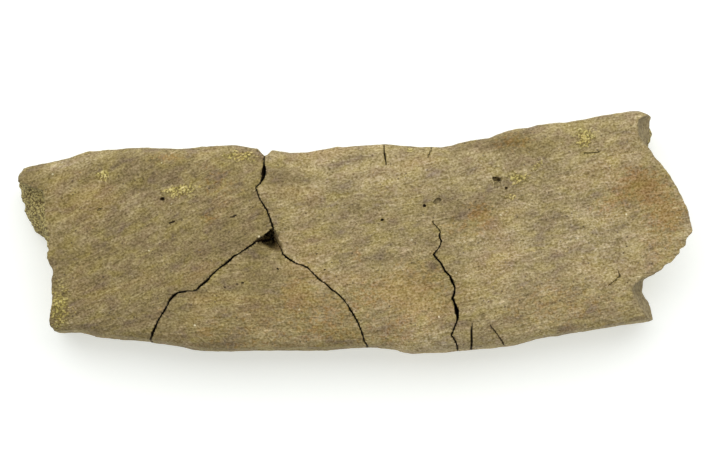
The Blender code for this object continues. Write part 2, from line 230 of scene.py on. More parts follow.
def soft_normals(mesh: bpy.types.Mesh, rounds: int) -> Points:
    """Vertex normals evened out, so that small relief doesn't sway them.

    Args:
        mesh: The mesh.
        rounds: How often each normal is averaged with its neighbours.

    Returns:
        One unit row for each vertex.
    """
    normals = np.empty(len(mesh.vertices) * 3, np.float32)
    mesh.vertex_normals.foreach_get("vector", normals)
    normals = normals.reshape(-1, 3).astype(float)
    near, far = edge_ends(mesh)
    for _ in range(rounds):
        total = normals.copy()
        for axis in range(3):
            total[:, axis] += np.bincount(near, normals[far, axis], len(normals))
            total[:, axis] += np.bincount(far, normals[near, axis], len(normals))
        normals = total / np.maximum(np.linalg.norm(total, axis=1, keepdims=True), 1e-9)
    return normals


def loose_parts(mesh: bpy.types.Mesh) -> Points:
    """A number for each vertex, which is the same all over one loose part.

    Args:
        mesh: The mesh.

    Returns:
        One number for each vertex.
    """
    near, far = edge_ends(mesh)
    part = np.arange(len(mesh.vertices))
    while True:
        joined = part.copy()
        least = np.minimum(part[near], part[far])
        np.minimum.at(joined, near, least)
        np.minimum.at(joined, far, least)
        joined = joined[joined]
        if (joined == part).all():
            return part
        part = joined


def evaluated_mesh(obj: bpy.types.Object, name: str) -> bpy.types.Mesh:
    """A new mesh from an object with its modifiers applied.

    Args:
        obj: The object.
        name: The name of the new mesh.

    Returns:
        The mesh, with no modifiers left to apply.
    """
    graph = bpy.context.evaluated_depsgraph_get()
    mesh = bpy.data.meshes.new_from_object(obj.evaluated_get(graph))
    mesh.name = name
    return mesh


def link(name: str, mesh: bpy.types.Mesh) -> bpy.types.Object:
    """Puts an object with this mesh in the scene.

    Args:
        name: Its name.
        mesh: Its mesh.

    Returns:
        The object, at the origin.
    """
    obj = bpy.data.objects.new(name, mesh)
    bpy.context.scene.collection.objects.link(obj)
    return obj


def set_weight(mesh: bpy.types.Mesh, name: str, values: Points) -> None:
    """Stores one weight for each vertex, for a material to read."""
    attribute = mesh.attributes.new(name, "FLOAT", "POINT")
    attribute.data.foreach_set("value", values.astype(np.float32))


@dataclass(frozen=True)
class Patch:
    """A soft-edged oval place on the outer face."""

    x: float
    y: float
    half_length: float
    half_width: float
    strength: float = 1.0
    turn: float = 0.0

    def weight(self, points: Points) -> Points:
        """How much of the patch lies at each point.

        Args:
            points: Rows of coordinates, from the datum.

        Returns:
            The patch's strength at its middle, falling softly to 0.
        """
        cos, sin = math.cos(math.radians(self.turn)), math.sin(math.radians(self.turn))
        x, y = points[:, 0] - self.x, points[:, 1] - self.y
        along = (x * cos + y * sin) / self.half_length
        across = (y * cos - x * sin) / self.half_width
        return self.strength * np.exp(-PATCH_FALL * (along**2 + across**2))


@dataclass(frozen=True)
class Relief:
    """The small shape of the bone's surfaces: how high each kind of detail stands."""

    swell: float = 0.28
    grain: float = 0.11
    nubble: float = 0.08
    scoop: float = 0.3
    crumb: float = 0.28
    lump: float = 0.5
    pore: float = 0.45
    tread: float = 0.12
    chip: float = 0.9
    tread_spacing: float = 1.9
    tread_sway: float = 5.0
    # How far a crumb stands above the bone, and a ridge between chips above the break, on average.
    standing: float = 0.3
    # How rough a break is where it isn't spongy.
    dense_roughness: float = 0.2

    SWELLS = Lumps((16.0, 5.0, 5.0), 3.0, 3)
    GRAIN = Lumps((5.5, 1.5, 1.5), 11.0, 2)
    NUBBLES = Lumps((1.8, 1.5, 1.5), 17.0, 2)
    SCOOPS = Lumps((4.0, 2.0, 2.0), 23.0, 2)
    CRUMBS = Lumps((1.3, 1.3, 1.3), 71.0, 2)
    CHIPS = Lumps((3.4, 3.4, 9.0), 83.0, 2)
    BREAK_LUMPS = Lumps((3.0, 3.0, 2.4), 41.0, 3)
    PORES = Lumps((1.5, 1.5, 1.5), 57.0, 2)
    # The noise at the rim of a scoop and of a pore, and at its floor.
    SCOOP_EDGE, PORE_EDGE = (0.3, 0.75), (0.0, 0.5)

    def natural(self, points: Points, tilt: float) -> Points:
        """Height over the natural surface: swells, fibrous grain, nubbles and shallow scoops.

        Args:
            points: Rows of coordinates, in millimetres.
            tilt: The turn of the fibres, in degrees.

        Returns:
            One height for each point.
        """
        fibre = fibre_points(points, tilt)
        raised = self.swell * self.SWELLS.at(fibre) + self.grain * self.GRAIN.at(fibre)
        scoops = step(self.SCOOPS.at(fibre), *self.SCOOP_EDGE)
        return raised + self.nubble * self.NUBBLES.at(fibre) - self.scoop * scoops

    def crumbs(self, points: Points) -> Points:
        """Height of the crumbs of a crust, where one grows."""
        return self.crumb * (self.standing + self.CRUMBS.at(points))

    def chips(self, points: Points) -> Points:
        """Height of the chips along the broken ends: scallops with sharp ridges between them."""
        return self.chip * (self.standing - np.abs(self.CHIPS.at(points)))

    def broken(self, points: Points, spongy: Points) -> Points:
        """Height over a broken surface: lumps and treads, and open pores where it is spongy.

        Args:
            points: Rows of coordinates, in millimetres.
            spongy: How spongy the bone is at each of them.

        Returns:
            One height for each point.
        """
        lumps = self.BREAK_LUMPS.at(points)
        pores = step(self.PORES.at(points), *self.PORE_EDGE)
        treads = np.sin(points[:, 2] * 2.0 * math.pi / self.tread_spacing + self.tread_sway * lumps)
        rough = self.dense_roughness + (1.0 - self.dense_roughness) * spongy
        return self.lump * rough * lumps - self.pore * spongy * pores + self.tread * rough * treads


def closed_cutter(name: str, bm: bmesh.types.BMesh) -> bpy.types.Object:
    """Turns a closed bmesh, in metres, into a cutting object.

    Args:
        name: The name of the object.
        bm: The bmesh, which this frees.

    Returns:
        The cutter, with triangles that face outwards.
    """
    bmesh.ops.triangulate(bm, faces=bm.faces[:])
    bmesh.ops.recalc_face_normals(bm, faces=bm.faces[:])
    mesh = bpy.data.meshes.new(name)
    bm.to_mesh(mesh)
    bm.free()
    return link(name, mesh)


def lofted(rings: list[Points]) -> bmesh.types.BMesh:
    """Bridges rings of points, one above the other, and caps the first and the last.

    Args:
        rings: Each ring's points, in millimetres from the datum, with as many in each.

    Returns:
        A closed bmesh, in metres.
    """
    bm = bmesh.new()
    loops = []
    for ring in rings:
        verts = [bm.verts.new((point + (*DATUM, 0.0)) * MM) for point in ring]
        loops.append([bm.edges.new((verts[i - 1], verts[i])) for i in range(len(verts))])
    for upper, lower in zip(loops, loops[1:]):
        bmesh.ops.bridge_loops(bm, edges=upper + lower)
    for loop in (loops[0], loops[-1]):
        bmesh.ops.contextual_create(bm, geom=loop)
    return bm


def height_at(ground: BVHTree, x: float, y: float) -> float:
    """Height of the outer face under a place.

    Args:
        ground: The tree of the uncut shaft.
        x: The place from the datum, in millimetres.
        y: The same, across the shaft.

    Returns:
        The height in millimetres, or not a number beyond the margins of the face.
    """
    start = Vector(((x + DATUM[0]) * MM, (y + DATUM[1]) * MM, 1.0))
    hit = ground.ray_cast(start, Vector((0.0, 0.0, -1.0)))[0]
    return math.nan if hit is None or hit.z < FACE_SHARE * THICKNESS * MM else hit.z / MM


@dataclass(frozen=True)
class Crack:
    """A crack seen from above: its path, as X, Y and width, and how it goes down."""

    name: str
    path: tuple[tuple[float, float, float], ...]
    depth: float = THICKNESS + 4.0
    lean: tuple[float, float] = (2.6, 0.1)
    end_share: float = 0.9
    station: float = 0.28
    waver: float = 0.08
    surface: Surface = Surface.WALL
    widest: float = 0.8
    widest_below: float = 3.0
    jag: float = 0.08
    jag_size: float = 0.9
    waver_height: float = 2.5
    waver_depth: float = 0.6
    wavers_from: float = 0.4

    # The seeds of the jags along each axis, and of the wavers on either wall.
    JAG_SEEDS, WAVER_SEED = (31.0, 40.0), 7.0
    # Over how many stations the heading, and the height of the surface, are evened out.
    HEADING_SPAN, TOP_SPAN = 5, 7

    def stations(self) -> Points:
        """The path's points, set close together.

        Returns:
            Rows of X, Y and width.
        """
        path = np.array(self.path)
        runs = np.linalg.norm(np.diff(path[:, :2], axis=0), axis=1)
        along = np.concatenate([[0.0], np.cumsum(runs)])
        places = np.linspace(0.0, along[-1], max(2, round(along[-1] / self.station)))
        return np.stack([np.interp(places, along, path[:, i]) for i in range(3)], axis=1)

    def course(self, ground: BVHTree) -> tuple[Points, Points, Points, Points]:
        """Follows the path over the surface, with small jags.

        Args:
            ground: The tree that finds the surface above each station.

        Returns:
            At each station, the crack's middle, its width, the way across it and the height of the
            surface.
        """
        stations = self.stations()
        centres, widths = stations[:, :2], stations[:, 2]
        flat = np.column_stack([centres, np.zeros(len(centres))])
        for axis, seed in enumerate(self.JAG_SEEDS):
            centres[:, axis] += self.jag * Lumps((self.jag_size,) * 3, seed, 3).at(flat)
        heading = np.gradient(centres, axis=0)
        even = np.ones(self.HEADING_SPAN) / self.HEADING_SPAN
        for axis in range(2):
            heading[:, axis] = np.convolve(heading[:, axis], even, "same")
        heading /= np.linalg.norm(heading, axis=1, keepdims=True)
        across = np.column_stack([-heading[:, 1], heading[:, 0]])
        tops = np.array([height_at(ground, x, y) for x, y in centres])
        found = np.flatnonzero(~np.isnan(tops))
        tops = np.interp(np.arange(len(tops)), found, tops[found])
        even = np.ones(self.TOP_SPAN) / self.TOP_SPAN
        tops = np.convolve(np.pad(tops, self.TOP_SPAN // 2, "edge"), even, "valid")
        return centres, widths, across, tops

    def cutter(self, ground: BVHTree) -> bpy.types.Object:
        """Builds a thin wavering blade, hung from the local height of the surface.

        Args:
            ground: The tree that finds the surface above each station.

        Returns:
            The blade, which kinks sideways as it goes down so that nothing shows through it.
        """
        centres, widths, across, tops = self.course(ground)
        # (depth, share of the width, share of the lean)
        levels = (
            (-1.6, 1.1, 0.0),
            (0.0, 1.02, 0.0),
            (min(0.25, 0.2 * self.depth), 1.0, 0.0),
            (min(2.0, 0.5 * self.depth), 0.95, 0.0),
            (0.55 * self.depth, 0.5 * (1.0 + self.end_share), 1.0),
            (self.depth, self.end_share, 1.0),
        )
        rings = []
        for depth, share, lean in levels:
            place = centres + lean * np.array(self.lean)
            spots = np.column_stack([centres, np.full(len(centres), self.waver_depth * depth)])
            limit = self.widest if depth > self.widest_below else math.inf
            sides = []
            for side in (1.0, -1.0):
                size = (self.jag_size, self.jag_size, self.waver_height)
                wavers = Lumps(size, self.WAVER_SEED * side, 2)
                swing = self.waver * np.minimum(widths / self.wavers_from, 1.0) * wavers.at(spots)
                half = side * 0.5 * share * np.minimum(widths, limit) + swing
                sides.append(np.column_stack([place + half[:, None] * across, tops - depth]))
            rings.append(np.concatenate([sides[0], sides[1][::-1]]))
        return closed_cutter(self.name, lofted(rings))

    def nearness(self, points: Points, reach: float) -> Points:
        """How near each point lies to the crack, seen from above.

        Args:
            points: Rows of coordinates, from the datum.
            reach: How far from its edge the crack still counts.

        Returns:
            1 on the crack, falling to 0 at the reach.
        """
        best = np.full(len(points), reach)
        for x, y, width in self.stations()[::2]:
            gap = np.hypot(points[:, 0] - x, points[:, 1] - y) - 0.5 * width
            best = np.minimum(best, np.maximum(gap, 0.0))
        return 1.0 - best / reach


@dataclass(frozen=True)
class Hollow:
    """A hole with a ragged rim, left where chips were lost, and narrowing as it goes down."""

    name: str
    rim: tuple[tuple[float, float], ...]
    # (depth, size against the rim, move in X, move in Y)
    levels: tuple[tuple[float, float, float, float], ...]
    roughness: float = 0.45
    spacing: float = 0.5
    surface: Surface = Surface.RUBBLE
    # The sizes of the chunks and of the grit on the walls, and how strong the grit is beside them.
    chunk: float = 1.7
    grit: float = 0.8
    grit_share: float = 0.6
    seed: int = 57

    def cutter(self, ground: BVHTree) -> bpy.types.Object:
        """Builds the rims from above the face down to the lowest, and roughens the walls.

        Args:
            ground: The tree that finds the surface above the hole.

        Returns:
            The cutter.
        """
        corners = np.array(self.rim + self.rim[:1])
        runs = np.linalg.norm(np.diff(corners, axis=0), axis=1)
        along = np.concatenate([[0.0], np.cumsum(runs)])
        places = np.linspace(0.0, along[-1], round(along[-1] / self.spacing), endpoint=False)
        rim = np.stack([np.interp(places, along, corners[:, i]) for i in range(2)], axis=1)
        centre = rim.mean(axis=0)
        top = np.nanmax([height_at(ground, x, y) for x, y in rim])
        rings = []
        for depth, size, move_x, move_y in self.levels:
            ring = centre + (move_x, move_y) + size * (rim - centre)
            rings.append(np.column_stack([ring, np.full(len(ring), top - depth)]))
        bm = lofted(rings)
        noise.seed_set(self.seed)
        for vert in bm.verts:
            place = vert.co / MM
            push = noise.noise_vector(place / self.chunk)
            push += self.grit_share * noise.noise_vector(place / self.grit)
            vert.co += self.roughness * MM * push
        return closed_cutter(self.name, bm)


@dataclass(frozen=True)
class Pit:
    """A vessel hole, a worn pit or a slit in the outer face."""

    x: float
    y: float
    half_length: float
    half_width: float
    depth: float
    turn: float = 0.0
    surface: Surface = Surface.WALL
    unevenness: float = 0.3
    lumpiness: float = 1.3

    def cutter(self, ground: BVHTree) -> bpy.types.Object:
        """Builds a small uneven ball, stretched to the pit's length, width and depth.

        Args:
            ground: The tree that finds the surface above the pit.

        Returns:
            The cutter.
        """
        bm = bmesh.new()
        bmesh.ops.create_icosphere(bm, subdivisions=3, radius=1.0)
        for vert in bm.verts:
            place = vert.co * self.lumpiness + Vector((self.x, self.y, 0.0))
            vert.co *= 1.0 + self.unevenness * noise.noise(place)
        centre = Vector((self.x + DATUM[0], self.y + DATUM[1], height_at(ground, self.x, self.y)))
        size = Matrix.Diagonal((self.half_length * MM, self.half_width * MM, self.depth * MM, 1.0))
        turn = Matrix.Rotation(math.radians(self.turn), 4, "Z")
        bmesh.ops.transform(bm, matrix=Matrix.Translation(centre * MM) @ turn @ size, verts=bm.verts[:])
        return closed_cutter(f"pit_{self.x}_{self.y}", bm)


# The three branches all start at the fork, and each runs out past the margin.
THROUGH_CRACKS = (
    Crack("upper_branch", (
        (-26.6, -2.4, 0.5), (-26.1, -0.5, 0.5), (-25.8, 1.3, 0.5), (-26.7, 4.2, 0.35),
        (-27.9, 7.0, 0.4), (-30.1, 10.6, 0.26), (-31.3, 14.0, 0.22), (-29.9, 15.1, 0.26),
        (-28.9, 17.4, 1.0), (-28.9, 18.0, 1.28), (-28.7, 19.8, 1.25), (-28.7, 21.6, 0.3),
        (-28.7, 23.7, 0.3), (-28.5, 31.0, 0.4),
    )),
    Crack("lower_left_branch", (
        (-25.7, -0.65, 0.5), (-28.6, -1.7, 0.5), (-30.4, -2.5, 0.6), (-31.6, -3.3, 0.56),
        (-34.0, -5.1, 0.45), (-36.5, -6.8, 0.24), (-38.1, -7.6, 0.56), (-39.8, -9.3, 0.66),
        (-42.7, -11.4, 0.34), (-45.3, -13.9, 0.36), (-46.0, -14.9, 0.58), (-48.8, -17.2, 0.6),
        (-49.6, -18.1, 0.28), (-50.8, -18.5, 0.18), (-52.0, -18.4, 0.2), (-55.5, -19.0, 0.56),
        (-57.0, -20.1, 0.72), (-58.1, -21.5, 0.6), (-58.5, -22.6, 0.3), (-59.4, -24.1, 0.5),
        (-61.6, -27.7, 0.34), (-63.4, -31.5, 0.8), (-64.0, -33.2, 0.34), (-66.9, -43.0, 0.5),
    )),
    Crack("lower_right_branch", (
        (-27.0, -1.4, 0.4), (-24.8, -2.6, 0.14), (-23.5, -4.8, 0.12), (-22.7, -7.0, 0.3),
        (-21.3, -8.2, 0.6), (-18.7, -9.8, 0.24), (-17.1, -10.3, 0.18), (-15.3, -11.0, 0.44),
        (-14.4, -11.9, 0.22), (-11.4, -14.9, 0.36), (-9.4, -16.2, 0.26), (-7.7, -17.9, 0.48),
        (-6.1, -18.9, 0.26), (-5.2, -19.7, 0.38), (-3.6, -21.4, 0.24), (-2.5, -22.9, 0.2),
        (-1.6, -24.5, 0.56), (-0.6, -26.0, 0.4), (1.1, -29.2, 0.38), (2.6, -33.8, 0.34),
        (3.6, -35.4, 0.32), (4.9, -43.0, 0.5),
    )),
)
BLIND_CRACKS = (
    Crack("long_crack", (
        (23.9, 3.3, 0.1), (26.2, 0.5, 0.15), (26.3, -0.1, 0.18), (26.0, -1.3, 0.36),
        (26.7, -2.9, 0.42), (26.5, -3.5, 0.22), (26.1, -4.6, 0.24), (24.6, -6.5, 0.28),
        (24.2, -7.0, 0.48), (26.5, -9.7, 0.42), (27.9, -12.4, 0.56), (29.3, -13.6, 0.42),
        (29.9, -15.2, 0.86), (30.4, -16.3, 0.46), (30.9, -17.3, 0.52), (30.7, -19.1, 0.46),
        (30.1, -20.8, 0.75), (30.7, -21.9, 0.54), (31.5, -24.8, 1.3), (31.7, -27.2, 0.54),
        (31.3, -28.3, 0.34), (29.7, -32.2, 0.36), (31.1, -34.0, 0.42), (31.8, -36.3, 0.34),
        (32.2, -39.3, 0.4), (32.3, -42.0, 0.4),
    ), depth=15.0, lean=(0.6, 0.0), end_share=0.4),
    Crack("margin_crack", (
        (36.2, -28.4, 0.1), (36.0, -31.6, 0.42), (36.2, -34.1, 0.52), (35.8, -38.5, 0.4),
    ), depth=6.0, lean=(0.4, 0.0), end_share=0.4),
    Crack("slant_crack", (
        (41.9, -29.1, 0.1), (44.1, -31.8, 0.16), (46.2, -34.8, 0.28), (47.6, -37.5, 0.25),
    ), depth=1.6, lean=(0.2, 0.0), end_share=0.4),
    Crack("upper_crack", (
        (9.5, 21.3, 0.2), (9.0, 24.4, 0.34), (8.8, 26.3, 0.2), (8.9, 30.0, 0.2),
    ), depth=3.0, lean=(0.3, 0.0), end_share=0.4),
    Crack("right_crack", (
        (81.6, -11.7, 0.07), (82.4, -13.6, 0.11), (80.7, -15.2, 0.1), (78.9, -16.5, 0.06),
    ), depth=0.3, lean=(0.1, 0.0), end_share=0.5, surface=Surface.RUBBLE),
    Crack("faint_crack", (
        (23.9, 28.1, 0.12), (23.4, 25.7, 0.12), (22.4, 23.5, 0.07),
    ), depth=0.35, lean=(0.1, 0.0), end_share=0.5, surface=Surface.RUBBLE),
    Crack("hair_crack", (
        (71.3, 24.7, 0.11), (73.8, 24.9, 0.09), (76.2, 25.3, 0.06),
    ), depth=0.28, lean=(0.1, 0.0), end_share=0.5, surface=Surface.RUBBLE),
)
FORK_HOLLOW = Hollow(
    "fork_hollow",
    (
        (-25.8, 1.3), (-24.5, -0.6), (-24.1, -2.5), (-23.0, -4.3), (-22.7, -6.4), (-24.6, -6.0),
        (-26.5, -5.5), (-28.7, -4.3), (-30.8, -3.5), (-31.8, -3.0), (-30.8, -2.3), (-29.0, -1.1),
        (-27.4, 0.2),
    ),
    (
        (-2.0, 1.04, 0.0, 0.0), (0.0, 1.01, 0.0, 0.0), (0.4, 0.97, -0.1, 0.1),
        (0.9, 0.86, -0.35, 0.6), (1.5, 0.74, -0.6, 1.2), (3.4, 0.68, -0.6, 1.5),
        (5.5, 0.58, -0.45, 2.0), (8.0, 0.42, -0.5, 2.8), (13.0, 0.2, -0.6, 3.6),
    ),
)
MARGIN_NOTCH = Hollow(
    "margin_notch",
    (
        (-28.6, 23.9), (-29.6, 24.8), (-30.8, 25.7), (-32.2, 28.0), (-25.0, 28.0), (-26.2, 25.6),
        (-27.4, 24.9),
    ),
    (
        (-2.0, 1.05, 0.0, 0.0), (0.0, 1.0, 0.0, 0.0), (1.5, 0.95, 0.0, 0.4),
        (3.5, 0.8, 0.0, 1.2), (6.0, 0.6, 0.0, 2.2),
    ),
    roughness=0.25,
    surface=Surface.WORN,
)
PITS = (
    Pit(44.0, 16.7, 1.45, 0.7, 1.7, -15.0, Surface.RUBBLE),
    Pit(44.3, 15.0, 1.0, 0.8, 0.4, 10.0, Surface.WORN),
    Pit(47.0, 13.9, 0.4, 0.36, 0.9),
    Pit(21.4, 8.3, 0.5, 0.46, 1.3),
    Pit(25.4, 9.9, 1.4, 0.75, 0.6, 25.0, Surface.WORN),
    Pit(8.2, 3.8, 0.48, 0.32, 1.1, 15.0),
    Pit(-60.4, 10.4, 0.6, 0.52, 1.4),
    Pit(-57.2, 3.1, 0.9, 0.18, 0.8, 20.0),
    Pit(-80.0, 7.1, 0.7, 0.16, 0.25, 25.0, Surface.WORN),
    Pit(-38.2, 4.9, 1.0, 0.12, 0.35, 20.0),
    Pit(-35.2, -15.9, 0.35, 0.15, 0.4),
    Pit(-37.0, -16.3, 0.3, 0.13, 0.35, -10.0),
    Pit(-40.8, -17.3, 0.25, 0.16, 0.35),
    Pit(-24.3, -11.5, 0.35, 0.18, 0.45, -50.0),
    Pit(-9.7, -11.8, 0.22, 0.18, 0.4),
)

# How light each fragment is, in the order left, wedge, right, and how much paler the shaft gets
# between two places along it.
FRAGMENT_TONES = (1.0, 1.02, 1.2)
PALING, PALING_ZONE = 0.08, (0.0, 60.0)
# Painted highlight on the lips of the cracks, where their edges catch the light: how far it reaches, and
# how much paler it makes the bone.
LIP_HIGHLIGHT_REACH, LIP_HIGHLIGHT_GAIN = 0.6, 0.2
# A snapped end lies beyond these distances along the shaft, and faces along it by these shares.
END_ZONE, END_FACING = (82.0, 87.0), (0.3, 0.55)
# Heights: the outer face starts here, and an end is bare and then spongy below there.
FACE_FROM, BARE_BELOW, SPONGY_BELOW = (12.0, 16.0), (12.0, 15.0), (6.0, 9.0)
# The weights between which patches of a break have their edge.
PATCH_EDGE = (0.3, 0.5)
# Weights too faint to raise relief for, and a part of the cut shaft too small to be a fragment.
FAINT, FAINT_CRUST, LARGE_SHARE = 0.01, 0.05, 0.02
# How deeply every broken end is chipped, whether or not a patch adds to it.
CHIPPED_ANYWHERE = 0.25


def owners(points: Points) -> Points:
    """Which fragment each point belongs to, seen from above: 0 left, 1 wedge, 2 right.

    Args:
        points: Rows of coordinates, from the datum.

    Returns:
        One number for each point.
    """
    upper, lower_left, lower_right = (
        np.array(sorted((y, x) for x, y, _ in crack.path)) for crack in THROUGH_CRACKS
    )
    x, y = points[:, 0], points[:, 1]
    fork = lower_left[-1, 0]
    left_bound = np.where(y > fork, np.interp(y, *upper.T), np.interp(y, *lower_left.T))
    right_bound = np.where(y > fork, left_bound, np.interp(y, *lower_right.T))
    return np.where(x < left_bound, 0, np.where(x < right_bound, 1, 2))


# Where freshly broken bone faces upwards, beyond the edge of the outer face.
OPEN_BREAKS = (
    Patch(-101.5, 5.0, 7.5, 11.5),
    Patch(91.5, 31.5, 4.0, 7.5),
    Patch(89.5, -21.5, 5.0, 7.5),
)
SPONGY = (Patch(-101.5, 5.0, 8.0, 12.5),)
# Where the edges of the broken ends are chipped deepest.
CHIPPED = (Patch(-98.0, -6.0, 12.0, 26.0, 0.5), Patch(100.0, -9.0, 12.0, 11.0, 0.8))
# Where the olive crust grows.
CRUSTS = (
    Patch(-55.4, 12.8, 3.9, 1.4, 1.5, 10.0),
    Patch(-79.3, 17.6, 1.8, 1.2, 1.6),
    Patch(-36.1, 24.0, 4.6, 1.5, 0.9),
    Patch(71.8, 29.5, 2.2, 2.6, 1.1),
    Patch(50.6, 16.9, 2.8, 1.6, 1.0, -10.0),
    Patch(56.8, 21.0, 2.2, 1.0, 0.7, 50.0),
    Patch(48.3, 11.1, 1.9, 1.0, 1.1),
    Patch(16.9, 26.1, 1.4, 1.0, 0.6),
    Patch(-92.5, -23.5, 2.4, 6.5, 0.85),
)
# Yellow-brown stains, and red-brown ones.
OCHRES = (
    Patch(-46.8, -30.9, 2.2, 1.2, 0.9),
    Patch(-18.5, -19.5, 4.5, 5.0, 0.8),
    Patch(8.5, -17.8, 5.5, 3.4, 0.5),
    Patch(19.0, -19.5, 8.0, 9.0, 0.8),
    Patch(-30.0, -30.0, 14.0, 6.0, 0.4),
    Patch(64.0, -23.0, 20.0, 7.0, 0.5),
    Patch(33.0, 0.5, 6.0, 3.0, 0.5),
    Patch(-8.0, -22.0, 6.0, 4.0, 0.5),
    Patch(95.0, -4.0, 7.0, 8.0, 0.5),
)
RUSTS = (
    Patch(-34.0, -34.5, 12.0, 2.0, 0.4),
    Patch(-58.6, 23.7, 5.0, 1.5, 0.6),
    Patch(-46.0, 4.4, 2.3, 1.4, 0.6),
    Patch(0.5, -7.5, 2.5, 2.5, 0.5),
    Patch(39.0, 5.5, 3.2, 4.0, 0.75),
    Patch(90.0, 15.0, 7.0, 4.5, 0.9, -20.0),
    Patch(80.0, 9.5, 6.0, 2.5, 0.6, 20.0),
    Patch(97.0, 5.0, 5.0, 5.0, 0.8),
    Patch(49.0, 28.5, 7.0, 2.5, 0.5),
    Patch(-43.0, 15.0, 7.0, 5.0, 0.35),
    Patch(12.0, -32.0, 8.0, 5.0, 0.4),
    Patch(-9.0, -30.0, 8.0, 5.0, 0.5),
    Patch(2.5, -20.5, 5.0, 3.5, 0.5),
)
# Places lighter or darker than the bone around them; the thin ones are bared fibres, except those along the
# upper margin, which are partly painted highlight.
TONES = (
    Patch(-22.5, 15.6, 6.0, 4.2, -0.22),
    Patch(4.0, 17.5, 26.0, 7.0, 0.12),
    Patch(-63.0, 7.5, 11.0, 4.5, 0.12),
    Patch(-84.0, -12.0, 5.5, 13.0, -0.1),
    Patch(25.0, -11.0, 4.0, 7.0, -0.14),
    Patch(33.0, 6.0, 8.0, 4.0, -0.1),
    Patch(40.0, 5.0, 4.0, 4.0, -0.08),
    Patch(32.0, -24.0, 4.5, 7.0, -0.14),
    Patch(89.0, 13.5, 8.0, 7.5, -0.18),
    Patch(50.0, -6.0, 16.0, 6.0, 0.06),
    Patch(76.0, 1.0, 9.0, 9.0, 0.1),
    Patch(50.0, 28.2, 12.0, 2.6, -0.34),
    Patch(-14.0, -21.0, 8.0, 7.0, 0.13),
    Patch(-9.0, -29.0, 10.0, 5.0, 0.08),
    Patch(-80.0, -25.0, 13.0, 5.0, 0.1),
    Patch(25.0, -34.0, 12.0, 3.0, 0.2),
    Patch(71.7, 29.4, 2.4, 2.8, -0.18),
    Patch(-55.4, 12.8, 4.2, 1.7, 0.22, 10.0),
    Patch(-79.3, 17.6, 2.0, 1.5, 0.2),
    Patch(50.8, 16.9, 3.2, 2.0, -0.16),
    Patch(39.8, -26.2, 3.6, 0.4, -0.22, -53.0),
    Patch(-30.0, -9.0, 4.0, 8.0, -0.14),
    # Lighter along the upper margin: partly a pale flaked band, partly painted highlight where the rounded
    # edge faces the light.
    Patch(-94.0, 20.9, 3.2, 1.3, 0.5, 12.0),
    Patch(-86.5, 22.4, 6.0, 1.5, 0.45, 8.0),
    Patch(-101.5, 17.0, 3.0, 2.5, -0.12),
    # Lighter along the upper margin: partly a paler band of bone, partly painted highlight where the
    # rounded edge faces the light.
    Patch(-60.0, 25.3, 26.0, 1.2, 0.2),
    Patch(-37.0, 26.0, 6.0, 1.5, 0.08),
    Patch(-30.0, -33.0, 16.0, 3.0, 0.18),
    Patch(-6.2, -24.5, 2.6, 0.8, 0.16),
    Patch(-69.7, 10.3, 4.0, 0.5, 0.16, 18.0),
    Patch(-75.9, 6.1, 12.0, 0.7, 0.12, 18.0),
    Patch(-63.0, 0.4, 2.2, 0.4, 0.22, 18.0),
    Patch(52.5, 1.1, 6.5, 0.5, 0.14, 10.0),
    Patch(54.4, -2.8, 3.3, 0.5, 0.14, 17.0),
    Patch(-37.1, -22.6, 2.3, 0.4, 0.28, 73.0),
    Patch(-39.2, -26.0, 2.3, 0.4, 0.28, 42.0),
)


